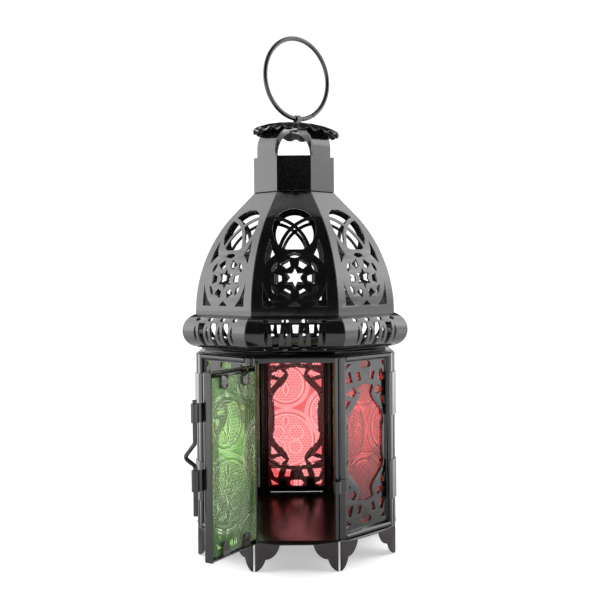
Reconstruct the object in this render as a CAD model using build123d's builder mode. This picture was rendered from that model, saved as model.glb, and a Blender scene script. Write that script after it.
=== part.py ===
from build123d import *

import os
from math import cos, radians, sin, sqrt, tan

os.makedirs("parts", exist_ok=True)

# Octagonal candle lantern in enamelled sheet steel with pressed-glass panes.
# Millimetres.  Origin on the lantern's axis, in the plane of the foot tips; +Z up.
# The doorway faces -Y.  Face angles turn from the doorway (0) towards +X (90).

# ---- driving dimensions: body ----
body_apothem = 54.0
floor_top = 15.9
panel_top = 108.2
sheet = 0.8
mitre_gap = 0.12
half_corner = 22.5
fixed_faces = {
    "front_right": 45,
    "right": 90,
    "rear_right": 135,
    "rear": 180,
    "rear_left": 225,
    "left": 270,
    "front_left": 315,
}

# ---- side panels: a pressed tray with a recessed, pierced field ----
ridge_x = 17.7
ridge_apothem = 53.706
field_recess = 2.6
step_run = 0.9
flange_depth = 3.0
panel_bends = [1.0, 0.9, 1.0, 1.0, 0.9, 1.0]
end_border = 1.5
end_bends = [0.9, 0.9]
field_centre_z = 62.8
window_scale = (1.0, 0.97)
cut_depth = 8.0
# The borders of neighbouring panels lie in one plane and truncate the corner.
post_middle = ridge_x * sin(radians(half_corner)) + (body_apothem - sheet / 2) * cos(radians(half_corner))
post_apothem = post_middle + sheet / 2

# ---- glass and its claws ----
glass_thickness = 2.1
glass_half_width = 17.2
glass_bottom = 20.6
glass_top = 105.4
glass_corner = 0.8
glass_gap = 0.05
claw_width = 5.0
claw_reach = 6.2
claw_sheet = 0.6
claw_gap = 0.1
claw_spacing = 8.5

# ---- base pan ----
pan_apothem = 53.2
pan_sheet = 0.8
skirt_depth = 2.4
foot_inset = 0.9
# Outline of a half-foot from its tip to the skirt: distance in from the corner, height.
foot_tip = [(0, 0), (2.4, 1.2), (4.3, 3.6), (5.3, 6.2)]
foot_heel = [(5.3, 6.2), (8.2, 7.0), (11.2, 9.9), (12.6, 13.5)]

# ---- top rail ----
rail_top = 111.8
rail_lip_apothem = 50.2
rail_rest_apothem = 52.2
skirt_apothem = 48.5
skirt_bottom = 106.8

# ---- doorway frame ----
jamb_x = 20.1
lintel_apothem = 53.3
lintel_bottom = 105.9

# ---- door, hinge and latch ----
door_open_angle = 122.0
hinge_x, hinge_y = -23.0, -55.5
door_left, door_right = -19.3, 17.8
door_bottom, door_top = 17.0, 105.4
door_flange = 4.5
door_border = 4.6
door_bends = [1.5, 1.1, 1.0, 1.0, 1.1, 1.5]
door_end_inset = 1.2
door_glass_inset = 1.2
door_glass_drop = 1.3
pin_radius = 1.0
pin_tail = 2.0
pin_head_gap = 0.4
pin_head = (1.5, 1.0)
pin_head_chamfer = 0.35
running_clearance = 0.06
press_clearance = 0.02
knuckle_radius = 1.65
leaf_sheet = 0.7
leaf_reach = (3.9, 1.3)
leaf_bend = 0.5
knuckle_strap = [(-15.6, -54.35), (-18.6, -54.35), (-21.6, -55.2)]
barrel_strap = [(13.6, -54.35), (17.0, -54.35), (19.4, -55.5)]
fixed_knuckles = ((28.0, 35.0), (87.0, 94.0))
door_knuckles = ((35.5, 42.5), (79.5, 86.5))
bolt_x, bolt_y = 20.6, -56.0
bolt_radius = 1.1
barrel_radius = 1.9
lower_barrel = (50.4, 60.4)
upper_barrel = (82.4, 91.4)
bolt_bottom, bolt_top = 39.0, 93.0
bolt_bend = 1.8
finger_reach = 6.4
finger_low, finger_tip, finger_high = 62.3, 65.6, 72.8
keeper_radius = 2.05
keeper_bore = 1.5
keeper_band = (40.5, 46.6)
keeper_leg = -0.7
keeper_bend = 0.9

# ---- corner clips ----
clip_sheet = 0.6
clip_arm = 2.3
clip_bend = 0.9
upper_clip = (75.0, 98.0)
lower_clip = (30.0, 51.0)

# ---- dome panels ----
dome_sheet = 0.8
dome_foot_apothem = 53.0
dome_foot_z = 130.0
dome_radius = 79.0
dome_straight_z = 180.0
eave_centre = (51.0, 120.8)
eave_radius = 9.0
eave_lip = 1.6
tuck_apothem = 21.0
tuck_foot = 194.9
tuck_top = 199.2
tuck_bend = (0.9, 0.5)

# ---- neck, arches, cap and ring ----
neck_apothem = 21.84
neck_bottom, neck_top = 195.0, 213.7
strap_width = 14.2
strap_sheet = 0.8
strap_shoulder = 12.0
strap_foot = 199.6
strap_angles = {"arch_strap_upper": 45, "arch_strap_lower": 135}
crown_top = 231.5
cap_shift = 1.4
cap_lift = 0.54
cap_tilt = 3.0
cap_seat = crown_top + cap_lift
cap_sheet = 0.8
cap_radius = 23.7
cap_flat = 12.0
cap_drop = 4.6
cap_shoulder = (19.0, 1.7)
cap_rim_tilt = 0.6
cap_flutes = 20
flute_cut = 1.7
ring_radius = 22.0
ring_wire = 1.25
ring_pivot_z = 236.35
ring_turn = 38.8
staple_x = 2.1
staple_width = 2.8
staple_sheet = 0.6
staple_bore = 1.4
staple_foot = 5.0
staple_slot = (4.6, 3.4)
seam_gap = 0.3
seam_angle = -62.0


def face_plane(angle, apothem):
    """The vertical plane of one octagon face: X runs to the right as seen from outside, Y up."""
    a = radians(angle)
    return Plane(
        origin=(apothem * sin(a), -apothem * cos(a), 0),
        x_dir=(cos(a), sin(a), 0),
        z_dir=(sin(a), -cos(a), 0),
    )


def octagon(apothem):
    """An octagon whose flats face the axes, in the current sketch."""
    RegularPolygon(apothem, 8, major_radius=False, rotation=half_corner)


def keep(part, name):
    """Label a finished piece and write it out."""
    part.label = name
    export_step(part, f"parts/{name}.step")


def turned(part, angle):
    """A copy of a piece of the front face, turned about the lantern's axis to another face."""
    return part.rotate(Axis.Z, angle)


def four_ways(points, u, v):
    """One polygon of the filigree in all four quarters, scaled by u across and v up."""
    for side in (1, -1):
        for end in (1, -1):
            Polygon(*[(side * u * x, end * v * y) for x, y in points], align=None)


def lens(length, thickness, at, turn=0):
    """A lens of two arcs about its own centre, lying flat unless turned."""
    half, bulge = length / 2, thickness / 2
    with BuildSketch() as outline:
        with BuildLine():
            ThreePointArc((-half, 0), (0, bulge), (half, 0))
            ThreePointArc((-half, 0), (0, -bulge), (half, 0))
        make_face()
    return outline.sketch.moved(Location((at[0], at[1], 0), (0, 0, turn)))


def side_filigree(u, v):
    """The pierced pattern of a side panel about its own centre: a double-lobed vase in small holes."""
    right = [(6.0, 30.4), (4.8, 26.0), (7.4, 21.2), (10.9, 17.8), (13.6, 14.0), (14.6, 9.6)]
    with BuildSketch() as window:
        with BuildLine():
            Line((0, 31.6 * v), (right[0][0] * u, right[0][1] * v))
            waist = (13.2 * u, 0)
            Spline(*[(x * u, y * v) for x, y in right], waist, tangents=[(-1, -3), (0, -1)])
            Line(waist, (0, 0))
            Line((0, 0), (0, 31.6 * v))
        make_face()
        mirror(about=Plane.YZ)
        mirror(about=Plane.XZ)
        four_ways([(15.4, 18.4), (15.6, 24.0), (11.4, 23.0)], u, v)
        four_ways([(6.9, 27.3), (9.3, 24.9), (15.4, 27.0), (9.5, 30.3)], u, v)
        four_ways([(9.9, 32.8), (15.8, 32.4), (13.4, 38.4), (11.6, 38.6)], u, v)
        four_ways([(3.3, 33.7), (6.1, 33.2), (7.6, 37.6), (4.6, 38.2)], u, v)
        four_ways([(10.9, 42.7), (15.6, 39.8), (15.0, 43.2)], u, v)
        for end in (1, -1):
            with Locations((0, end * 41.8 * v)):
                SlotOverall(8.2 * u, 3.4)
    return window.sketch


def claws(centre, bottom, top):
    """Four tabs bent over the edges of the glass behind a panel, two above and two below."""
    back = -body_apothem + field_recess + sheet
    tip = back + glass_thickness + claw_sheet + claw_gap
    for x in (centre - claw_spacing, centre + claw_spacing):
        for edge, way in ((top, 1), (bottom, -1)):
            shelf = edge + way * (claw_gap + claw_sheet / 2)
            with Locations((x, (back + tip) / 2, shelf)):
                Box(claw_width, tip - back, claw_sheet)
            with BuildSketch(face_plane(0, claw_sheet - tip)) as tongue:
                straight = claw_reach - claw_width / 2
                with Locations((x, shelf - way * (straight - claw_sheet / 2) / 2)):
                    Rectangle(claw_width, straight + claw_sheet / 2)
                with Locations((x, shelf - way * straight)):
                    Circle(claw_width / 2)
            extrude(tongue.sketch, amount=-claw_sheet)


# ---- base pan: floor plate, narrow skirt and scalloped half-feet at every corner ----
with BuildPart() as base_pan:
    with BuildSketch(Plane.XY.offset(floor_top - pan_sheet)):
        octagon(pan_apothem)
    extrude(amount=pan_sheet)
    skirt_half = pan_apothem * tan(radians(half_corner)) - foot_inset
    skirt_low = floor_top - skirt_depth
    for number in range(8):
        with BuildSketch(face_plane(45 * number, pan_apothem)):
            with BuildLine():
                foot = [(skirt_half - x, z) for x, z in foot_tip]
                heel = [(skirt_half - x, z) for x, z in foot_heel]
                Spline(*foot)
                Spline(*heel)
                Line(heel[-1], (0, skirt_low))
                Line((0, skirt_low), (0, floor_top))
                Line((0, floor_top), (skirt_half, floor_top))
                Line((skirt_half, floor_top), foot[0])
            make_face()
            mirror(about=Plane.YZ)
        extrude(amount=-pan_sheet)
keep(base_pan.part, "base_pan")

# ---- top rail: a skirt with a lip under the eave and a ledge that rests on the panels ----
with BuildPart() as top_rail:
    for low, high, outer in (
        (skirt_bottom, rail_top, skirt_apothem),
        (rail_top - sheet, rail_top, rail_lip_apothem),
        (panel_top, panel_top + sheet, rail_rest_apothem),
    ):
        with BuildSketch(Plane.XY.offset(low)):
            octagon(outer)
            with BuildSketch(mode=Mode.SUBTRACT):
                octagon(skirt_apothem - sheet)
        extrude(amount=high - low)
keep(top_rail.part, "top_rail")


def corner_edge():
    """Where a sheet turns inward at a corner, and its flange's inner end, in plan for the front face."""
    run = sheet / 2 + mitre_gap
    across, out = cos(radians(half_corner)), sin(radians(half_corner))
    turn = (post_middle * out - run * across, -post_middle * across - run * out)
    return turn, (turn[0] - flange_depth * out, turn[1] + flange_depth * across)


def panel_section():
    """Centre line of a fixed panel's sheet in plan: flanges, slanted borders and sunk field."""
    middle = body_apothem - sheet / 2
    turn, flange_end = corner_edge()
    half = [flange_end, turn, (ridge_x, -middle), (ridge_x - step_run, -middle + field_recess)]
    return [(-x, y) for x, y in half] + half[::-1]


# ---- the seven fixed side panels ----
with BuildPart() as side_panel:
    with BuildSketch(Plane.XY.offset(floor_top)):
        with BuildLine():
            FilletPolyline(*panel_section(), radius=panel_bends)
            offset(amount=sheet / 2, side=Side.BOTH)
        make_face()
    extrude(amount=panel_top - floor_top)
    # The field steps forward again to a narrow border along its top and bottom.
    middle = body_apothem - sheet / 2
    sunk = middle - field_recess
    for end, way in ((floor_top, 1), (panel_top, -1)):
        with Locations((0, -sunk, end + way * end_border / 2)):
            Box(2 * (ridge_x - 2 * step_run), 2 * sheet, end_border, mode=Mode.SUBTRACT)
        with BuildSketch(Plane.YZ):
            with BuildLine():
                FilletPolyline(
                    (-middle, end + way * sheet / 2),
                    (-middle, end + way * end_border),
                    (-sunk, end + way * (end_border + step_run)),
                    (-sunk, end + way * (end_border + 2 * step_run)),
                    radius=end_bends,
                )
                offset(amount=sheet / 2, side=Side.BOTH)
            make_face()
        extrude(amount=ridge_x - step_run / 2, both=True)
    with BuildSketch(face_plane(0, body_apothem + 1)):
        with Locations((0, field_centre_z)):
            add(side_filigree(*window_scale))
    extrude(amount=-cut_depth, mode=Mode.SUBTRACT)
    claws(0, glass_bottom, glass_top)

# ---- the fixed panes ----
glass_face = body_apothem - field_recess - sheet - glass_gap
with BuildPart() as pane:
    with BuildSketch(face_plane(0, glass_face)):
        with Locations((0, (glass_bottom + glass_top) / 2)):
            RectangleRounded(2 * glass_half_width, glass_top - glass_bottom, glass_corner)
    extrude(amount=-glass_thickness)

for place, angle in fixed_faces.items():
    keep(turned(side_panel.part, angle), f"side_panel_{place}")
    keep(turned(pane.part, angle), f"glass_{place}")

# ---- doorway frame: an L-shaped jamb at each side and a lintel between them ----
with BuildPart() as doorway_frame:
    turn, flange_end = corner_edge()
    jamb_edge = (jamb_x, turn[1] - (turn[0] - jamb_x) * tan(radians(half_corner)))
    with BuildSketch(Plane.XY.offset(floor_top)):
        for side in (1, -1):
            with BuildLine():
                Polyline(*[(side * x, y) for x, y in (flange_end, turn, jamb_edge)])
                offset(amount=sheet / 2, side=Side.BOTH)
            make_face()
    extrude(amount=panel_top - floor_top)
    with BuildSketch(face_plane(0, lintel_apothem)):
        with Locations((0, (lintel_bottom + panel_top) / 2)):
            Rectangle(2 * jamb_x, panel_top - lintel_bottom)
    extrude(amount=-sheet)
keep(doorway_frame.part, "doorway_frame")


def corner_line(sheet_thickness, arm):
    """Half the plan line of a strip bent over a corner: its bend and its arm's end, X across, -Y out."""
    out = post_apothem + sheet_thickness / 2
    across, tilt = cos(radians(half_corner)), sin(radians(half_corner))
    bend = (ridge_apothem + sheet_thickness / 2 - out * across) / tilt
    return [(bend, -out), (bend + arm * across, -out + arm * tilt)]


# ---- corner clips wrapped over the joints between fixed panels ----
clip_half = corner_line(clip_sheet, clip_arm)
clip_line = [(-x, y) for x, y in clip_half[::-1]] + clip_half
for name, (low, high) in {"upper_corner_clips": upper_clip, "lower_corner_clips": lower_clip}.items():
    with BuildPart() as clips:
        with BuildSketch(Plane.XY.offset(low)):
            for angle in [face + half_corner for face in list(fixed_faces.values())[:-1]]:
                with BuildLine(Plane(Location((0, 0, 0), (0, 0, angle)))):
                    FilletPolyline(*clip_line, radius=clip_bend)
                    offset(amount=clip_sheet / 2, side=Side.BOTH)
                make_face()
        extrude(amount=high - low)
    keep(clips.part, name)

# ---- door: a narrower tray with square flanges all round ----
door_middle = (door_left + door_right) / 2
door_half = (door_right - door_left) / 2
door_plane = -body_apothem + sheet / 2
hinge_axis = Axis((hinge_x, hinge_y, 0), (0, 0, 1))
with BuildPart() as door_panel:
    with BuildSketch(Plane.XY.offset(door_bottom)):
        with BuildLine():
            edge = door_half - sheet / 2
            step = edge - door_border
            half = [
                (edge, door_plane + door_flange),
                (edge, door_plane),
                (step, door_plane),
                (step - step_run, door_plane + field_recess),
            ]
            section = [(door_middle - x, y) for x, y in half]
            section += [(door_middle + x, y) for x, y in half[::-1]]
            FilletPolyline(*section, radius=door_bends)
            offset(amount=sheet / 2, side=Side.BOTH)
        make_face()
    extrude(amount=door_top - door_bottom)
    end_depth = door_flange - 2 * mitre_gap
    for height in (door_bottom + sheet / 2, door_top - sheet / 2):
        with Locations((door_middle, door_plane + door_flange / 2, height)):
            Box(2 * (door_half - door_end_inset), end_depth, sheet)
    with BuildSketch(face_plane(0, body_apothem + 1)):
        with Locations((door_middle, (door_bottom + door_top) / 2)):
            add(side_filigree(0.84, 0.92))
    extrude(amount=-cut_depth, mode=Mode.SUBTRACT)
    claws(door_middle, door_bottom + 2 * door_glass_drop, door_top - 2 * door_glass_drop)
    # Knuckles rolled round the hinge pin, and barrels that guide the latch bolt.
    for low, high in door_knuckles:
        with BuildSketch(Plane.XY.offset(low)):
            with BuildLine():
                Polyline(*knuckle_strap)
                offset(amount=leaf_sheet / 2, side=Side.BOTH)
            make_face()
            with Locations((hinge_x, hinge_y)):
                Circle(knuckle_radius)
        extrude(amount=high - low)
    for low, high in (lower_barrel, upper_barrel):
        with BuildSketch(Plane.XY.offset(low)):
            with BuildLine():
                Polyline(*barrel_strap)
                offset(amount=leaf_sheet / 2, side=Side.BOTH)
            make_face()
            with Locations((bolt_x, bolt_y)):
                Circle(barrel_radius)
        extrude(amount=high - low)
    with BuildSketch(Plane.XY.offset(door_bottom)):
        with Locations((hinge_x, hinge_y)):
            Circle(pin_radius + running_clearance)
        with Locations((bolt_x, bolt_y)):
            Circle(bolt_radius + running_clearance)
    extrude(amount=door_top - door_bottom, mode=Mode.SUBTRACT)
keep(door_panel.part.rotate(hinge_axis, -door_open_angle), "door_panel")

with BuildPart() as door_glass:
    with BuildSketch(face_plane(0, glass_face)):
        with Locations((door_middle, (door_bottom + door_top) / 2)):
            RectangleRounded(
                2 * (door_half - door_glass_inset),
                door_top - door_bottom - 4 * door_glass_drop,
                glass_corner,
            )
    extrude(amount=-glass_thickness)
keep(door_glass.part.rotate(hinge_axis, -door_open_angle), "door_glass")

# ---- hinge pin and the two fixed leaves that hold it ----
with BuildPart() as hinge_pin:
    pin_bottom = fixed_knuckles[0][0] - pin_tail
    head_bottom = fixed_knuckles[1][1] + pin_head_gap
    with BuildSketch(Plane.XY.offset(pin_bottom)):
        with Locations((hinge_x, hinge_y)):
            Circle(pin_radius)
    extrude(amount=head_bottom - pin_bottom)
    with BuildSketch(Plane.XY.offset(head_bottom)):
        with Locations((hinge_x, hinge_y)):
            Circle(pin_head[0])
    extrude(amount=pin_head[1])
    chamfer(hinge_pin.edges().group_by(Axis.Z)[-1], pin_head_chamfer)
keep(hinge_pin.part, "hinge_pin")

leaf_out = post_apothem + leaf_sheet / 2
knuckle_out = sqrt(hinge_x**2 + hinge_y**2)
with BuildPart() as hinge_leaves:
    for low, high in fixed_knuckles:
        with BuildSketch(Plane.XY.offset(low)):
            with BuildLine(Plane(Location((0, 0, 0), (0, 0, -half_corner)))):
                FilletPolyline(
                    (-leaf_reach[0], -leaf_out),
                    (-leaf_reach[1], -leaf_out),
                    (-leaf_reach[1], -knuckle_out),
                    radius=leaf_bend,
                )
                offset(amount=leaf_sheet / 2, side=Side.BOTH)
            make_face()
            with Locations((hinge_x, hinge_y)):
                Circle(knuckle_radius)
                Circle(pin_radius + press_clearance, mode=Mode.SUBTRACT)
        extrude(amount=high - low)
keep(hinge_leaves.part, "hinge_leaves")

# ---- latch bolt: one bent wire with a finger kink ----
with BuildPart() as latch_bolt:
    with BuildLine() as wire:
        FilletPolyline(
            (bolt_x, bolt_y, bolt_bottom),
            (bolt_x, bolt_y, finger_low),
            (bolt_x, bolt_y - finger_reach, finger_tip),
            (bolt_x, bolt_y, finger_high),
            (bolt_x, bolt_y, bolt_top),
            radius=bolt_bend,
        )
    with BuildSketch(Plane(origin=wire.line @ 0, z_dir=wire.line % 0)):
        Circle(bolt_radius)
    sweep()
keep(latch_bolt.part.rotate(hinge_axis, -door_open_angle), "latch_bolt")

# ---- latch keeper: a band bent over the front-right corner with an eye for the bolt ----
eye_out = sqrt(bolt_x**2 + bolt_y**2)
with BuildPart() as latch_keeper:
    with BuildSketch(Plane.XY.offset(keeper_band[0])):
        with BuildLine(Plane(Location((0, 0, 0), (0, 0, half_corner)))):
            band = corner_line(leaf_sheet, clip_arm)
            band = band[::-1] + [(keeper_leg, band[0][1]), (keeper_leg, -eye_out)]
            FilletPolyline(*band, radius=keeper_bend)
            offset(amount=leaf_sheet / 2, side=Side.BOTH)
        make_face()
        with Locations((bolt_x, bolt_y)):
            Circle(keeper_radius)
            Circle(keeper_bore, mode=Mode.SUBTRACT)
    extrude(amount=keeper_band[1] - keeper_band[0])
keep(latch_keeper.part, "latch_keeper")


def dome_arc(radius, height):
    """Apothem of the dome's arc of that radius at a height."""
    return dome_foot_apothem - dome_radius + sqrt(radius**2 - (height - dome_foot_z) ** 2)


def arc_band(start, middle, end, width):
    """A band of even width along the arc through three points."""
    with BuildSketch() as band:
        with BuildLine():
            ThreePointArc(start, middle, end)
            offset(amount=width / 2, side=Side.BOTH)
        make_face()
    return band.sketch


def dome_filigree():
    """Pierced pattern of a dome panel as seen along the face's normal: X across, Y height."""
    medal = 148.2
    with BuildSketch() as holes:
        # Roundel: two crossing arcs inside a circle, cut off below by a straight band.
        with Locations((0, 173.6)):
            Circle(11.2)
        with Locations((0, 158.2)):
            Rectangle(26, 10, mode=Mode.SUBTRACT)
        for side in (1, -1):
            band = arc_band((-side * 11.6, 180.2), (side * 2.2, 173.4), (side * 8.0, 159.6), 1.9)
            add(band, mode=Mode.SUBTRACT)
        # A lens under the band and a tall spandrel at each border.
        add(lens(7.4, 2.6, (0, 160.2)))
        for side in (1, -1):
            border = [(12.5, 168.5), (14.4, 162.0), (15.0, 156.0)]
            inner = [(12.2, 158.6), (10.0, 160.5), (11.6, 163.8)]
            Polygon(*[(side * x, z) for x, z in border + inner], align=None)
        # Medallion: a six-pointed star, six petals and four leaves.
        star = []
        for number in range(12):
            reach = 5.6 if number % 2 == 0 else 2.9
            star.append((reach * sin(radians(30 * number)), medal + reach * cos(radians(30 * number))))
        Polygon(*star, align=None)
        for turn in range(30, 360, 60):
            at = (8.3 * sin(radians(turn)), medal + 8.3 * cos(radians(turn)))
            with Locations(Location((at[0], at[1], 0), (0, 0, -turn))):
                Trapezoid(5.2, 3.6, 72, rotation=180)
        for turn in (60, 120, 240, 300):
            at = (11.7 * sin(radians(turn)), medal + 11.7 * cos(radians(turn)))
            add(lens(5.8, 2.2, at, -turn))
        # Corner triangles that follow the medallion's rim, and a small one between them.
        for side in (1, -1):
            with BuildLine():
                Line((side * 16.1, 134.2), (side * 9.2, 134.2))
                ThreePointArc((side * 9.2, 134.2), (side * 13.5, 139.4), (side * 16.1, 146.6))
                Line((side * 16.1, 146.6), (side * 16.1, 134.2))
            make_face()
        Polygon((-3.3, 134.3), (3.3, 134.3), (0, 137.0), align=None)
    return holes.sketch


def eave_filigree():
    """Pierced pattern of the half-round eave: tall slots between crossing arcs, small holes above."""
    pitch = 9.6
    with BuildSketch() as holes:
        for x in (-pitch, 0, pitch):
            Polygon((x - 2.5, 125.4), (x + 2.5, 125.4), (x + 1.5, 113.8), (x - 1.5, 113.8), align=None)
        for x in (-1.5 * pitch, -0.5 * pitch, 0.5 * pitch, 1.5 * pitch):
            add(lens(9.4, 1.9, (x, 119.6), 90))
            add(lens(3.6, 1.7, (x, 127.2)))
            add(lens(2.8, 1.4, (x, 112.9)))
    return holes.sketch


# ---- the eight dome panels: one bent sheet each, dome curve, sharp crease and half-round eave ----
dome_side = Plane(origin=(0, 0, 0), x_dir=(0, -1, 0), z_dir=(-1, 0, 0))
inner_radius = dome_radius - dome_sheet
roll_radius = eave_radius - dome_sheet
middle_z = (dome_straight_z + dome_foot_z) / 2
eave_x, eave_z = eave_centre
eave_low = eave_z - eave_radius
eave_reach = eave_x + eave_radius
# Outer and inner points where the dome's curve meets the roll of the eave.
foot = (dome_foot_apothem, eave_z + sqrt(eave_radius**2 - (dome_foot_apothem - eave_x) ** 2))
inner_x = dome_arc(inner_radius, foot[1])
inner_foot = (inner_x, eave_z + sqrt(roll_radius**2 - (inner_x - eave_x) ** 2))
with BuildPart() as dome_panel:
    with BuildSketch(dome_side):
        with BuildLine():
            outer_break = (dome_arc(dome_radius, dome_straight_z), dome_straight_z)
            inner_break = (dome_arc(inner_radius, dome_straight_z), dome_straight_z)
            Polyline(
                (tuck_apothem - dome_sheet, tuck_top),
                (tuck_apothem, tuck_top),
                (tuck_apothem, tuck_foot),
                (tuck_apothem + tuck_bend[0], tuck_foot - tuck_bend[1]),
                outer_break,
            )
            ThreePointArc(outer_break, (dome_arc(dome_radius, middle_z), middle_z), foot)
            ThreePointArc(foot, (eave_reach, eave_z), (eave_x, eave_low))
            Polyline(
                (eave_x, eave_low),
                (eave_x - eave_lip, eave_low),
                (eave_x - eave_lip, eave_low + dome_sheet),
                (eave_x, eave_low + dome_sheet),
            )
            ThreePointArc((eave_x, eave_low + dome_sheet), (eave_x + roll_radius, eave_z), inner_foot)
            ThreePointArc(inner_foot, (dome_arc(inner_radius, middle_z), middle_z), inner_break)
            Polyline(
                inner_break,
                (tuck_apothem - dome_sheet, tuck_foot - tuck_bend[1]),
                (tuck_apothem - dome_sheet, tuck_top),
            )
        make_face()
    extrude(amount=dome_foot_apothem / 2, both=True)
    # The mitred wedge of one face, with a hairline gap to its neighbours.
    wedge_reach = eave_reach + 5
    wedge_half = wedge_reach * tan(radians(half_corner)) - mitre_gap
    with BuildSketch(Plane.XY.offset(eave_low - 1)):
        Polygon((-wedge_half, -wedge_reach), (wedge_half, -wedge_reach), (0, -mitre_gap), align=None)
    extrude(amount=tuck_top - eave_low + 2, mode=Mode.INTERSECT)
    with BuildSketch(face_plane(0, wedge_reach)):
        add(dome_filigree())
        add(eave_filigree())
    extrude(amount=-wedge_reach, mode=Mode.SUBTRACT)

for number in range(8):
    keep(turned(dome_panel.part, 45 * number), f"dome_panel_{number + 1}")

# ---- neck collar ----
with BuildPart() as neck_collar:
    with BuildSketch(Plane.XY.offset(neck_bottom)):
        octagon(neck_apothem)
        with BuildSketch(mode=Mode.SUBTRACT):
            octagon(neck_apothem - sheet)
    extrude(amount=neck_top - neck_bottom)
keep(neck_collar.part, "neck_collar")

# ---- two crossing arch straps that rise from inside the collar's diagonal faces ----
for order, (name, angle) in enumerate(strap_angles.items()):
    crown = crown_top - strap_sheet / 2 - order * strap_sheet
    leg = neck_apothem - sheet - strap_sheet / 2
    diagonal = radians(angle)
    strap_frame = Plane(
        origin=(0, 0, 0),
        x_dir=(sin(diagonal), -cos(diagonal), 0),
        z_dir=(-cos(diagonal), -sin(diagonal), 0),
    )
    with BuildPart() as arch_strap:
        with BuildSketch(strap_frame):
            with BuildLine():
                FilletPolyline(
                    (-leg, strap_foot),
                    (-leg, crown),
                    (leg, crown),
                    (leg, strap_foot),
                    radius=strap_shoulder,
                )
                offset(amount=strap_sheet / 2, side=Side.BOTH)
            make_face()
        extrude(amount=strap_width / 2, both=True)
        with BuildSketch(Plane.XY.offset(crown_top)):
            with Locations((staple_x, 0)):
                Rectangle(*staple_slot, rotation=ring_turn + 90)
        extrude(amount=-3 * strap_sheet, mode=Mode.SUBTRACT)
    keep(arch_strap.part, name)

# ---- cap: a domed disc with a scalloped rim, slotted for the staple, that sits a little askew ----
cap_top = cap_seat + cap_sheet
rim_low = cap_top - cap_drop
under_rim = cap_radius - cap_rim_tilt
under_shoulder = cap_shoulder[0] - cap_rim_tilt
with BuildPart() as cap:
    with BuildSketch(Plane.XZ):
        with BuildLine():
            Polyline((cap_flat, cap_seat), (0, cap_seat), (0, cap_top), (cap_flat, cap_top))
            Spline(
                (cap_flat, cap_top),
                (cap_shoulder[0], cap_top - cap_shoulder[1]),
                (cap_radius, rim_low),
                tangents=[(1, 0), (1, -1)],
            )
            Line((cap_radius, rim_low), (under_rim, rim_low - cap_sheet))
            Spline(
                (under_rim, rim_low - cap_sheet),
                (under_shoulder, cap_seat - cap_shoulder[1]),
                (cap_flat, cap_seat),
                tangents=[(-1, 1), (-1, 0)],
            )
        make_face()
    revolve(axis=Axis.Z)
    with BuildSketch(Plane.XY.offset(rim_low - 2 * cap_sheet)):
        with PolarLocations(cap_radius + flute_cut / 2, cap_flutes):
            Circle(flute_cut)
    extrude(amount=cap_drop + 4 * cap_sheet, mode=Mode.SUBTRACT)
    with BuildSketch(Plane.XY.offset(cap_top)):
        with Locations((staple_x - cap_shift, 0)):
            Rectangle(*staple_slot, rotation=ring_turn + 90)
    extrude(amount=-2 * cap_sheet, mode=Mode.SUBTRACT)
cap_axis = Axis((0, 0, cap_seat), (0, 1, 0))
keep(cap.part.rotate(cap_axis, cap_tilt).moved(Location((cap_shift, 0, 0))), "cap")

# ---- ring staple: a strip over the ring's wire, its legs clinched under the straps ----
along = (cos(radians(ring_turn)), sin(radians(ring_turn)), 0)
across = (-sin(radians(ring_turn)), cos(radians(ring_turn)), 0)
staple_half = staple_bore + staple_sheet / 2
clinch = crown_top - 2 * strap_sheet - staple_sheet / 2
with BuildPart() as ring_staple:
    with BuildSketch(Plane(origin=(staple_x, 0, 0), x_dir=across, z_dir=along)):
        with BuildLine():
            Polyline((-staple_foot, clinch), (-staple_half, clinch), (-staple_half, ring_pivot_z))
            ThreePointArc(
                (-staple_half, ring_pivot_z), (0, ring_pivot_z + staple_half), (staple_half, ring_pivot_z)
            )
            Polyline((staple_half, ring_pivot_z), (staple_half, clinch), (staple_foot, clinch))
            offset(amount=staple_sheet / 2, side=Side.BOTH)
        make_face()
    extrude(amount=staple_width / 2, both=True)
keep(ring_staple.part, "ring_staple")

# ---- carry ring: one wire bent round, with a butt seam ----
ring_centre = (staple_x, 0, ring_pivot_z + ring_radius)
ring_normal = (-across[0], -across[1], 0)
with BuildPart(Plane(origin=ring_centre, x_dir=along, z_dir=ring_normal)) as carry_ring:
    Torus(ring_radius, ring_wire)
    with PolarLocations(ring_radius, 1, start_angle=seam_angle):
        Box(4 * ring_wire, seam_gap, 4 * ring_wire, mode=Mode.SUBTRACT)
keep(carry_ring.part, "carry_ring")
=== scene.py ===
import math

import bmesh
import bpy
import numpy as np
from mathutils import Matrix, Vector


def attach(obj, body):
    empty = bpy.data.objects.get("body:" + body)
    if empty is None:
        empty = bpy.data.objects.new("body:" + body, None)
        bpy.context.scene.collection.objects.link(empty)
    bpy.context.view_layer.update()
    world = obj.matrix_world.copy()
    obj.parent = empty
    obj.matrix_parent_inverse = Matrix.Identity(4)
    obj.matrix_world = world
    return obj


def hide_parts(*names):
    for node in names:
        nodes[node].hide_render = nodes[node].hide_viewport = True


# Octagonal candle lantern: gloss black pierced sheet, pressed coloured glass, wire ring and latch.
# Metres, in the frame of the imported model: +Z up the axis, the doorway faces -Y.

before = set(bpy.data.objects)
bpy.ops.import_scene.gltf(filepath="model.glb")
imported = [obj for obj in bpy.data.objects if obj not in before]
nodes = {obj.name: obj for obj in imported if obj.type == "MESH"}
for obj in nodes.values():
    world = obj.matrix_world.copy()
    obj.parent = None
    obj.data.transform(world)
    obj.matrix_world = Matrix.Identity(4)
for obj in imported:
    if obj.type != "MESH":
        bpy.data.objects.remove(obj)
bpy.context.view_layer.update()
MM = 0.001
EDGE_RADIUS = 0.25 * MM
BEND_LIMIT = math.radians(38)
DOOR_OPEN = math.radians(122)

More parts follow.
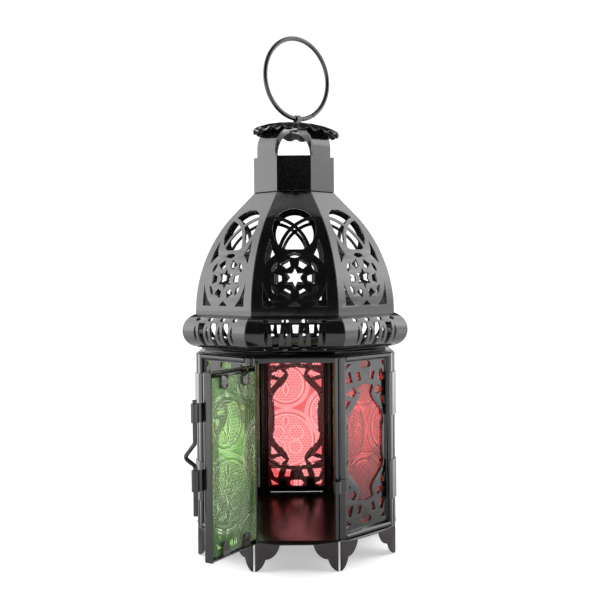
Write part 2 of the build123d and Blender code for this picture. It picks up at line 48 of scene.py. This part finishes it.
BODY_OF = {
    "door_panel": "door",
    "door_glass": "door",
    "latch_bolt": "latch_bolt",
    "carry_ring": "carry_ring",
}
GLASS_OF = {
    "glass_front_right": "red_glass",
    "glass_right": "amber_glass",
    "glass_rear_right": "red_glass",
    "glass_rear": "red_glass",
    "glass_rear_left": "green_glass",
    "glass_left": "amber_glass",
    "glass_front_left": "green_glass",
    "door_glass": "green_glass",
}


# ---- camera: the photograph's viewpoint, in front of the doorway at the height of the dome ----
CAMERA_AT = Vector((1.5, -526.8, 152.0)) * MM
CAMERA_PAN, CAMERA_PITCH, CAMERA_ROLL = math.radians(0.14), math.radians(1.744), math.radians(-0.45)
CAMERA_LENS, CAMERA_SENSOR = 56.7, 36


def make_camera():
    """The camera, turned right by its pan, down by its pitch and then about its own line of sight."""
    level_part = math.cos(CAMERA_PITCH)
    ahead = Vector(
        (math.sin(CAMERA_PAN) * level_part, math.cos(CAMERA_PAN) * level_part, -math.sin(CAMERA_PITCH))
    )
    right = Vector((math.cos(CAMERA_PAN), -math.sin(CAMERA_PAN), 0))
    up = right.cross(ahead)
    right_rolled = right * math.cos(CAMERA_ROLL) + up * math.sin(CAMERA_ROLL)
    up_rolled = up * math.cos(CAMERA_ROLL) - right * math.sin(CAMERA_ROLL)
    data = bpy.data.cameras.new("camera")
    data.lens = CAMERA_LENS
    data.sensor_width = CAMERA_SENSOR
    data.clip_start = 0.01
    camera = bpy.data.objects.new("camera", data)
    turn = Matrix((right_rolled, up_rolled, -ahead)).transposed().to_4x4()
    camera.matrix_world = Matrix.Translation(CAMERA_AT) @ turn
    bpy.context.scene.collection.objects.link(camera)
    bpy.context.scene.camera = camera


# ---- node helpers ----
def new_material(name):
    material = bpy.data.materials.new(name)
    material.use_nodes = True
    tree = material.node_tree
    tree.nodes.clear()
    output = tree.nodes.new("ShaderNodeOutputMaterial")
    shader = tree.nodes.new("ShaderNodeBsdfPrincipled")
    tree.links.new(shader.outputs["BSDF"], output.inputs["Surface"])
    return material, tree, shader


def put(tree, kind, inputs=None, **settings):
    """A node with its settings; inputs maps a socket to a value or to another node's output."""
    node = tree.nodes.new(kind)
    for key, value in settings.items():
        setattr(node, key, value)
    for key, value in (inputs or {}).items():
        if isinstance(value, bpy.types.NodeSocket):
            tree.links.new(value, node.inputs[key])
        else:
            node.inputs[key].default_value = value
    return node


def ramp(tree, factor, stops):
    """A colour ramp through (position, colour) stops."""
    node = tree.nodes.new("ShaderNodeValToRGB")
    tree.links.new(factor, node.inputs["Fac"])
    elements = node.color_ramp.elements
    while len(elements) < len(stops):
        elements.new(0.5)
    for element, (position, colour) in zip(elements, stops):
        element.position = position
        element.color = (*colour, 1)
    return node.outputs["Color"]


def level(tree, factor, low, high):
    """A 0-1 value mapped to low-high."""
    node = put(tree, "ShaderNodeMapRange", {"Value": factor, "To Min": low, "To Max": high})
    return node.outputs["Result"]


def calc(tree, operation, first, second=0.0):
    """One arithmetic step on numbers or on other nodes' outputs."""
    return put(tree, "ShaderNodeMath", {0: first, 1: second}, operation=operation).outputs[0]


def noise(tree, place, scale, detail):
    """Smooth 0-1 noise, with scale in cycles per metre."""
    node = put(tree, "ShaderNodeTexNoise", {"Vector": place, "Scale": scale, "Detail": detail})
    return node.outputs["Fac"]


def bump(tree, height, strength, distance, normal=None):
    """A surface normal tipped by a height, on top of another normal if one is given."""
    inputs = {"Height": height, "Strength": strength, "Distance": distance}
    if normal is not None:
        inputs["Normal"] = normal
    return put(tree, "ShaderNodeBump", inputs).outputs["Normal"]


def direct_rays(tree):
    """1 for what is seen directly or through glass, 0 for what a surface mirrors or is lit by."""
    path = put(tree, "ShaderNodeLightPath").outputs
    return calc(tree, "MAXIMUM", path["Is Camera Ray"], path["Is Transmission Ray"])


# ---- materials ----
# painted glow: emission strength of each pane's patterned face, standing in for light the glass scatters
GLASS_PAINTED_GLOW = 0.05
PATTERN_TOP = 1.0
PLAIN_FACE = 2.0
BLACK = (0.006, 0.0058, 0.0062)
BROWN_BLACK = (0.012, 0.0058, 0.0058)


def enamel_material(name, colour, roughness, peel, edge_radius=EDGE_RADIUS, ior=1.6, grain=(1, 1, 1)):
    """Stoved enamel: near-black, with a faint haze, orange peel and softly rounded cut edges.

    roughness is its least and most, over the haze; peel is the strength of the fine bumps, and
    grain below 1 draws them out along that axis."""
    material, tree, shader = new_material(name)
    place = put(tree, "ShaderNodeTexCoord").outputs["Object"]
    haze = put(tree, "ShaderNodeTexNoise", {"Vector": place, "Scale": 60.0, "Detail": 4.0, "Roughness": 0.6})
    haze = haze.outputs["Fac"]
    lighter = tuple(c * 1.5 + 0.002 for c in colour)
    tree.links.new(ramp(tree, haze, [(0.35, colour), (0.75, lighter)]), shader.inputs["Base Color"])
    tree.links.new(level(tree, haze, *roughness), shader.inputs["Roughness"])
    drawn = put(tree, "ShaderNodeVectorMath", {0: place, 1: grain}, operation="MULTIPLY").outputs["Vector"]
    normal = put(tree, "ShaderNodeBevel", {"Radius": edge_radius}, samples=4).outputs["Normal"]
    normal = bump(tree, noise(tree, place, 120.0, 1.0), 0.2, 0.2 * MM, normal)
    normal = bump(tree, noise(tree, drawn, 900.0, 2.0), peel, 0.04 * MM, normal)
    tree.links.new(normal, shader.inputs["Normal"])
    shader.inputs["IOR"].default_value = ior
    return material


def glass_material(name, deep, painted_ridge_light, body, clearness):
    """Pressed glass, tinted on both faces, with painted light on its patterned face.

    The mesh's relief attribute runs over 0-1 on the patterned face, from its deep ground to its raised
    lines, which are painted pale as a painted highlight for the light they scatter; that face also
    glows faintly in the same colours, a painted glow. relief is PLAIN_FACE on the plain outer face,
    which takes the body tint."""
    material, tree, shader = new_material(name)
    place = put(tree, "ShaderNodeTexCoord").outputs["Object"]
    relief = put(tree, "ShaderNodeAttribute", attribute_name="relief").outputs["Fac"]

    def by_face(patterned, plain):
        faces = {"From Min": PATTERN_TOP, "From Max": PLAIN_FACE, "To Min": patterned, "To Max": plain}
        return put(tree, "ShaderNodeMapRange", {"Value": relief, **faces}).outputs["Result"]

    paler = tuple(0.88 * d + 0.12 * p for d, p in zip(deep, painted_ridge_light))
    ground = ramp(tree, noise(tree, place, 90.0, 3.0), [(0.3, deep), (0.8, paler)])
    # painted highlight: the raised lines are mixed toward a pale colour that stands in for the light they
    # scatter
    ground_and_lit_ridges = put(tree, "ShaderNodeMix", data_type="RGBA")
    tree.links.new(put(tree, "ShaderNodeClamp", {"Value": relief}).outputs[0], ground_and_lit_ridges.inputs["Factor"])
    tree.links.new(ground, ground_and_lit_ridges.inputs["A"])
    ground_and_lit_ridges.inputs["B"].default_value = (*painted_ridge_light, 1)
    tint = put(tree, "ShaderNodeMix", data_type="RGBA")
    tree.links.new(by_face(0.0, 1.0), tint.inputs["Factor"])
    tree.links.new(ground_and_lit_ridges.outputs["Result"], tint.inputs["A"])
    tint.inputs["B"].default_value = (*body, 1)
    tree.links.new(tint.outputs["Result"], shader.inputs["Base Color"])
    ripple = bump(tree, noise(tree, place, 260.0, 2.0), 0.4, 0.4 * MM)
    tree.links.new(ripple, shader.inputs["Normal"])
    tree.links.new(by_face(clearness, 1.0), shader.inputs["Transmission Weight"])
    # painted glow: the patterned face emits its ground and line colours faintly, though the glass is no lamp
    tree.links.new(ground_and_lit_ridges.outputs["Result"], shader.inputs["Emission Color"])
    tree.links.new(by_face(GLASS_PAINTED_GLOW, 0.0), shader.inputs["Emission Strength"])
    shader.inputs["Roughness"].default_value = 0.04
    shader.inputs["IOR"].default_value = 1.42
    shader.inputs["Specular IOR Level"].default_value = 0.15
    return material


MATERIALS = {
    "black_enamel": enamel_material("black_enamel", BLACK, (0.1, 0.18), peel=0.05),
    "floor_enamel": enamel_material("floor_enamel", BROWN_BLACK, (0.18, 0.24), peel=0.8, grain=(0.04, 1, 1)),
    "cap_enamel": enamel_material("cap_enamel", BLACK, (0.08, 0.14), peel=0.02, edge_radius=0.0),
    # painted shade: the cap's downward faces take a rougher, less reflective copy of the cap enamel, so the
    # underside reads darker
    "cap_shaded_underside": enamel_material(
        "cap_shaded_underside", (0.008, 0.0075, 0.008), (0.4, 0.5), peel=0.1, edge_radius=0.0, ior=1.2
    ),
    "black_wire": enamel_material("black_wire", (0.01, 0.0098, 0.01), (0.16, 0.3), peel=0.1),
    "red_glass": glass_material(
        "red_glass",
        deep=(0.4, 0.004, 0.005),
        painted_ridge_light=(0.78, 0.42, 0.43),
        body=(0.82, 0.2, 0.21),
        clearness=0.985,
    ),
    "green_glass": glass_material(
        "green_glass",
        deep=(0.2, 0.56, 0.09),
        painted_ridge_light=(0.84, 0.97, 0.66),
        body=(0.66, 0.9, 0.5),
        clearness=0.97,
    ),
    "amber_glass": glass_material(
        "amber_glass",
        deep=(0.6, 0.2, 0.01),
        painted_ridge_light=(0.92, 0.75, 0.45),
        body=(0.88, 0.6, 0.25),
        clearness=0.96,
    ),
}


def slot_of(name):
    if name in GLASS_OF:
        return GLASS_OF[name]
    return "black_wire" if name in ("hinge_pin", "latch_bolt", "carry_ring") else "black_enamel"


def finish_of(name):
    """The material of a node: its slot's, but the floor plate shows the grain of its rolled sheet."""
    return MATERIALS["floor_enamel" if name == "base_pan" else slot_of(name)]


for name, node in nodes.items():
    node.data.materials.clear()
    node.data.materials.append(finish_of(name))


def show(piece, node_name):
    """Hang a visible piece on its CAD node's body in that node's place."""
    bpy.context.scene.collection.objects.link(piece)
    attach(piece, BODY_OF.get(node_name, "lantern_body"))
    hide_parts(node_name)


# ---- pressed glass: each pane's inner face carries a raised pattern ----
PANE_STEP = 0.3 * MM
RELIEF = 0.4 * MM
PANE_TRIM = 0.02 * MM
DISCS = (
    (6.0, 19.5, 10.5),
    (5.5, -14.0, 15.5),
    (-22.0, 2.5, 13.0),
    (30.0, 2.5, 12.0),
    (-16, 40, 12),
    (-14, -40, 12),
)
DISC_RIMS = ((0.0, 1.0), (2.1, 0.85), (3.3, 0.7))
CURLS = ((0.0, -9.5, 4.2), (0.5, -18.5, 3.8), (11.0, -9.5, 3.8), (10.5, -18.5, 4.0))
LEAVES = ((6.3, 16.8), (6.3, -2.5), (6.3, -24.5))
ROSETTES = ((6.0, -12.6), (-14.0, 2.5))


def smooth_band(distance, half_width, soft):
    """1 within half_width of a line, falling to 0 over soft."""
    return np.clip((half_width + soft - np.abs(distance)) / soft, 0, 1)


def pebbles(across, up, pitch):
    """Round dots in staggered rows."""
    row = np.round(up / (pitch * 0.87))
    shifted = across / pitch - 0.5 * np.mod(row, 2)
    off_x = (shifted - np.round(shifted)) * pitch
    off_y = up - row * pitch * 0.87
    return np.clip(1.25 - 2.2 * np.hypot(off_x, off_y) / pitch, 0, 1)


def leaf(across, up, at, length, width):
    """The raised rim of an upright lens."""
    x, y = across - at[0], up - at[1]
    reach = width / 2 * np.clip(1 - (2 * y / length) ** 2, 0, 1)
    return smooth_band(np.abs(x) - reach, 0.25, 0.35) * (np.abs(y) < length / 2)


def rosette(across, up, at, petals, size):
    """A small ring with petals round it."""
    x, y = across - at[0], up - at[1]
    radius, angle = np.hypot(x, y), np.arctan2(y, x)
    wave = size * (0.45 + 0.55 * np.abs(np.cos(petals * angle / 2)))
    outline = smooth_band(radius - wave, 0.3, 0.4)
    hub = smooth_band(radius - 0.22 * size, 0.3, 0.35)
    return np.maximum(outline, hub)


def pressed_pattern(across, up, sideways):
    """Height 0-1 over a pane, at places in millimetres from its centre: ribbed ground, pebbled discs
    in triple rims, curls, leaves and rosettes. A disc or curl is its centre and radius."""
    if sideways:
        across, up = up * 0.9, across + 2
    height = 0.25 * smooth_band(np.sin(2.1 * across + 0.5 * np.sin(0.35 * up)), 0.1, 0.5)
    for x, y, radius in DISCS:
        out = np.hypot(across - x, up - y) - radius
        inside = np.clip(-out / 0.3, 0, 1)
        height = height * (1 - inside) + inside * (0.8 - 0.8 * pebbles(across, up, 1.75))
        for gap, strength in DISC_RIMS:
            height = np.maximum(height, strength * smooth_band(out - gap, 0.28, 0.4))
    for x, y, radius in CURLS:
        out = np.hypot(across - x, up - y) - radius
        height = np.maximum(height, smooth_band(out, 0.25, 0.4))
    for at in LEAVES:
        inside = (np.abs(across - at[0]) < 1.6) & (np.abs(up - at[1]) < 3.6)
        height = np.where(inside, 0.35 * height, height)
        height = np.maximum(height, leaf(across, up, at, 7.4, 3.0))
    for at in ROSETTES:
        near = np.hypot(across - at[0], up - at[1]) < 3.4
        height = np.where(near, 0.2, height)
        height = np.maximum(height, rosette(across, up, at, 6, 3.4))
    return np.clip(height, 0, 1)


def node_points(node):
    """A node's vertices in the frame, one row each."""
    matrix = np.array(node.matrix_world)
    local = np.array([v.co[:] for v in node.data.vertices])
    return local @ matrix[:3, :3].T + matrix[:3, 3]


def pane_frame(node):
    """A pane's vertices, its centre, the level direction across it and the normal to its face."""
    points = node_points(node)
    low, high = points.min(axis=0), points.max(axis=0)
    centre = (low + high) / 2
    flat = points[:, :2] - centre[:2]
    turn = np.linalg.svd(flat, full_matrices=False)[2][0]
    normal = np.array([turn[1], -turn[0]])
    return points, centre, turn, normal


def closed_slab(name, face, shift, relief):
    """A mesh from a grid of points, a flat back at the grid's shifted rim and the walls between.

    relief is stored as an attribute on the grid's points and is PLAIN_FACE on the back."""
    rows, columns = relief.shape
    start = rows * columns
    index = np.arange(start).reshape(rows, columns)
    corners = [index[:-1, :-1], index[:-1, 1:], index[1:, 1:], index[1:, :-1]]
    quads = np.stack(corners, axis=-1).reshape(-1, 4)
    rim = np.concatenate([index[0, :-1], index[:-1, -1], index[-1, :0:-1], index[:0:-1, 0]])
    back = face[rim] + shift
    count = len(rim)
    faces = [tuple(int(i) for i in quad) for quad in quads]
    for i in range(count):
        after = (i + 1) % count
        faces.append((int(rim[i]), start + i, start + after, int(rim[after])))
    faces.append(tuple(start + i for i in range(count))[::-1])
    mesh = bpy.data.meshes.new(name)
    mesh.from_pydata(np.concatenate([face, back]).tolist(), [], faces)
    values = np.concatenate([relief.ravel(), np.full(count, PLAIN_FACE)]).astype(np.float32)
    mesh.attributes.new("relief", "FLOAT", "POINT").data.foreach_set("value", values)
    smooth = np.zeros(len(mesh.polygons), dtype=bool)
    smooth[: len(quads)] = True
    mesh.polygons.foreach_set("use_smooth", smooth)
    build = bmesh.new()
    build.from_mesh(mesh)
    bmesh.ops.recalc_face_normals(build, faces=build.faces)
    build.to_mesh(mesh)
    build.free()
    return mesh


def pressed_pane(name, node, sideways, inward):
    """A closed pane in its CAD node's place and size, with the pattern pressed into its inner face."""
    points, centre, turn, normal = pane_frame(node)
    if np.dot(normal, inward) < 0:
        normal = -normal
    half_width = np.abs((points[:, :2] - centre[:2]) @ turn).max() - PANE_TRIM
    half_depth = np.abs((points[:, :2] - centre[:2]) @ normal).max()
    half_height = (points[:, 2].max() - points[:, 2].min()) / 2
    columns = int(2 * half_width / PANE_STEP) + 1
    rows = int(2 * half_height / PANE_STEP) + 1
    across = np.linspace(-half_width, half_width, columns)
    up = np.linspace(-half_height, half_height, rows)
    u, v = np.meshgrid(across, up)
    height = pressed_pattern(u / MM, v / MM, sideways)
    border = np.minimum(half_width - np.abs(u), half_height - np.abs(v)) < 0.6 * PANE_STEP
    height[border] = 0
    depth = half_depth - RELIEF * (1 - height)
    x = centre[0] + u * turn[0] + depth * normal[0]
    y = centre[1] + u * turn[1] + depth * normal[1]
    z = centre[2] + v
    inner = np.stack([x, y, z], axis=-1).reshape(-1, 3)
    to_back = -np.array([normal[0], normal[1], 0]) * (2 * half_depth - RELIEF)
    mesh = closed_slab(name, inner, to_back, height)
    mesh.materials.append(MATERIALS[GLASS_OF[node.name]])
    show(bpy.data.objects.new(name, mesh), node.name)


for node_name in GLASS_OF:
    node = nodes[node_name]
    middle = node_points(node)[:, :2].mean(axis=0)
    inward = -middle / np.linalg.norm(middle)
    if node_name == "door_glass":
        # shut, the door's inner face looks along +Y; opening turns it clockwise, seen from above
        inward = np.array([math.sin(DOOR_OPEN), math.cos(DOOR_OPEN)])
    pressed_pane("pressed_" + node_name, node, node_name in ("glass_front_right", "glass_left"), inward)


# ---- enamelled sheet and wire: each node again, shaded flat on its faces and smooth on its bends ----
def smooth_copy(node):
    """A copy of a CAD node as one closed mesh, sharp where its faces turn by more than BEND_LIMIT.

    Its normals are weighted by area, so that a bend's small facets don't round the flat beside it."""
    build = bmesh.new()
    build.from_mesh(node.data)
    build.transform(node.matrix_world)
    bmesh.ops.remove_doubles(build, verts=build.verts, dist=0.001 * MM)
    mesh = bpy.data.meshes.new("enamelled_" + node.name)
    build.to_mesh(mesh)
    build.free()
    mesh.polygons.foreach_set("use_smooth", np.ones(len(mesh.polygons), dtype=bool))
    mesh.set_sharp_from_angle(angle=BEND_LIMIT)
    mesh.materials.append(finish_of(node.name))
    piece = bpy.data.objects.new(mesh.name, mesh)
    flat_faces = piece.modifiers.new("flat_faces", "WEIGHTED_NORMAL")
    flat_faces.mode = "FACE_AREA"
    flat_faces.weight = 100
    flat_faces.keep_sharp = True
    return piece


for node_name, node in nodes.items():
    if node_name not in GLASS_OF and node_name != "cap":
        show(smooth_copy(node), node_name)


# ---- cap: a crimped disc whose rim hangs in lobes, in millimetres about its seat ----
CAP_SEAT = Vector((1.4, 0, 232.04)) * MM
CAP_TILT = math.radians(3.0)
CAP_RADIUS, CAP_FLAT, CAP_DROP, CAP_TOP, CAP_SHEET = 23.7, 11.0, 4.6, 0.8, 0.75
CAP_EDGE_LIMIT = math.radians(60)
FLAT_RINGS, SLOPE_RINGS = 6, 16
FLUTES, FLUTE_STEPS, FLUTE_DEPTH, FLUTE_RUN, SCALLOP = 20, 12, 0.65, 9, 0.35


def cap_height(radius, turn):
    """Height of the cap's upper face over its seat, in millimetres."""
    run = np.clip((radius - CAP_FLAT) / (CAP_RADIUS - CAP_FLAT), 0, 1)
    crimp = np.clip((radius - CAP_FLAT) / FLUTE_RUN, 0, 1) ** 1.5
    wave = np.cos(FLUTES * turn) + 0.25 * np.cos(2 * FLUTES * turn)
    return CAP_TOP - CAP_DROP * run**1.5 + FLUTE_DEPTH * crimp * wave


def fluted_cap():
    """The cap as one closed sheet, glossy above; below, a duller, less reflective copy of its enamel is
    painted shade.
    """
    flat = np.linspace(0.01, CAP_FLAT, FLAT_RINGS)
    slope = np.linspace(CAP_FLAT + 0.8, CAP_RADIUS, SLOPE_RINGS)
    radii = np.concatenate([flat, slope])
    turns = np.linspace(0, 2 * math.pi, FLUTES * FLUTE_STEPS, endpoint=False)
    radius, turn = np.meshgrid(radii, turns, indexing="ij")
    reach = radius + SCALLOP * (radius / CAP_RADIUS) ** 6 * np.cos(FLUTES * turn)
    upper = np.stack([reach * np.cos(turn), reach * np.sin(turn), cap_height(radius, turn)], axis=-1)
    under = upper - np.array([0, 0, CAP_SHEET])
    points = np.concatenate([upper.reshape(-1, 3), under.reshape(-1, 3)]) * MM
    rings, steps = radius.shape
    offset = rings * steps
    faces = []
    for ring in range(rings - 1):
        for step in range(steps):
            near, near_after = ring * steps + step, ring * steps + (step + 1) % steps
            far, far_after = near + steps, near_after + steps
            faces.append((near, far, far_after, near_after))
            faces.append((offset + near, offset + near_after, offset + far_after, offset + far))
    edge = (rings - 1) * steps
    for step in range(steps):
        here, after = edge + step, edge + (step + 1) % steps
        faces.append((here, offset + here, offset + after, after))
    faces.append(tuple(range(steps)))
    faces.append(tuple(offset + step for step in range(steps))[::-1])
    mesh = bpy.data.meshes.new("fluted_cap")
    mesh.from_pydata(points.tolist(), [], faces)
    mesh.transform(Matrix.Translation(CAP_SEAT) @ Matrix.Rotation(CAP_TILT, 4, "Y"))
    mesh.polygons.foreach_set("use_smooth", np.ones(len(mesh.polygons), dtype=bool))
    mesh.set_sharp_from_angle(angle=CAP_EDGE_LIMIT)
    mesh.materials.append(MATERIALS["cap_enamel"])
    mesh.materials.append(MATERIALS["cap_shaded_underside"])
    # painted shade: the faces that point down take the duller underside copy
    faces_down = [face.normal.z < 0 for face in mesh.polygons]
    mesh.polygons.foreach_set("material_index", np.array(faces_down, dtype=np.int32))
    return bpy.data.objects.new("fluted_cap", mesh)


show(fluted_cap(), "cap")


# ---- studio ----
FLOOR_SIZE, FLOOR_GLOW, SIDE_GLOW = 8, 0.42, 1.3
WALL_LEFT, WALL_RIGHT, WALL_RIGHT_HIGH, WALL_REAR = 4.1, 2.0, 4.6, 0.8
ROOM_GLOW = 0.012
BACKDROP = 1.15
WHITE = (1, 1, 1, 1)


def floor_material():
    """White floor. Seen directly it glows up to the backdrop's white; mirrored, only beside the lantern."""
    material, tree, shader = new_material("studio_floor")
    place = put(tree, "ShaderNodeTexCoord").outputs["Object"]
    shade = ramp(tree, noise(tree, place, 40.0, 3.0), [(0.2, (0.86, 0.86, 0.86)), (0.8, (0.9, 0.9, 0.9))])
    tree.links.new(shade, shader.inputs["Base Color"])
    shader.inputs["Roughness"].default_value = 0.8
    shader.inputs["Emission Color"].default_value = WHITE
    to_side = calc(tree, "ABSOLUTE", put(tree, "ShaderNodeSeparateXYZ", {"Vector": place}).outputs["X"])
    beside = {"Value": to_side, "From Min": 0.1, "From Max": 0.5, "To Max": SIDE_GLOW}
    lit = put(tree, "ShaderNodeMapRange", beside).outputs["Result"]
    glossy = put(tree, "ShaderNodeLightPath").outputs["Is Glossy Ray"]
    direct = level(tree, direct_rays(tree), 0.0, FLOOR_GLOW)
    glow = calc(tree, "ADD", direct, calc(tree, "MULTIPLY", glossy, lit))
    tree.links.new(glow, shader.inputs["Emission Strength"])
    return material


def make_floor():
    bpy.ops.mesh.primitive_plane_add(size=FLOOR_SIZE, location=(0, 0, 0))
    floor = bpy.context.active_object
    floor.name = "studio_floor"
    floor.data.materials.append(floor_material())


def make_world():
    """A room that lights and is mirrored by the lantern: bright at both sides and dimmer at the rear,
    dark above and behind the camera. Seen directly or through glass it is an even white backdrop."""
    world = bpy.data.worlds.new("studio")
    bpy.context.scene.world = world
    world.use_nodes = True
    tree = world.node_tree
    tree.nodes.clear()
    out = tree.nodes.new("ShaderNodeOutputWorld")
    way = put(tree, "ShaderNodeTexCoord").outputs["Generated"]
    split = put(tree, "ShaderNodeSeparateXYZ", {"Vector": way}).outputs
    east, north, lift = split["X"], split["Y"], split["Z"]

    def swell(value, start, end, strength):
        """strength where value is past end, 0 before start, eased between."""
        ease = {"Value": value, "From Min": start, "From Max": end, "To Max": strength}
        return put(tree, "ShaderNodeMapRange", ease, interpolation_type="SMOOTHSTEP").outputs[0]

    def times(first, second):
        return calc(tree, "MULTIPLY", first, second)

    def plus(first, second):
        return calc(tree, "ADD", first, second)

    def fade(start, end, loss):
        """1 low down, falling by loss over a rising line of sight."""
        return calc(tree, "SUBTRACT", 1.0, swell(lift, start, end, loss))

    level_way = put(tree, "ShaderNodeCombineXYZ", {"X": east, "Y": north}).outputs[0]
    reach = put(tree, "ShaderNodeVectorMath", {0: level_way}, operation="LENGTH").outputs["Value"]
    to_right = calc(tree, "DIVIDE", east, reach)
    to_left = times(to_right, -1.0)
    to_rear = calc(tree, "DIVIDE", north, reach)
    left = times(swell(to_left, 0.45, 0.7, 1.0), WALL_LEFT)
    right_strength = plus(swell(lift, 0.0, 0.35, WALL_RIGHT_HIGH - WALL_RIGHT), WALL_RIGHT)
    right = times(swell(to_right, 0.45, 0.7, 1.0), right_strength)
    sides = times(plus(left, right), swell(to_rear, -0.55, -0.25, 1.0))
    sides = times(sides, fade(0.3, 0.8, 0.5))
    rear = times(swell(to_rear, 0.3, 0.8, WALL_REAR), fade(0.1, 0.5, 0.95))
    room = plus(plus(sides, rear), ROOM_GLOW)
    shown = {"Factor": direct_rays(tree), "A": room, "B": BACKDROP}
    strength = put(tree, "ShaderNodeMix", shown, data_type="FLOAT").outputs["Result"]
    background = put(tree, "ShaderNodeBackground", {"Color": WHITE, "Strength": strength})
    tree.links.new(background.outputs[0], out.inputs["Surface"])


make_camera()
make_floor()
make_world()
bpy.context.scene.view_settings.view_transform = "Standard"
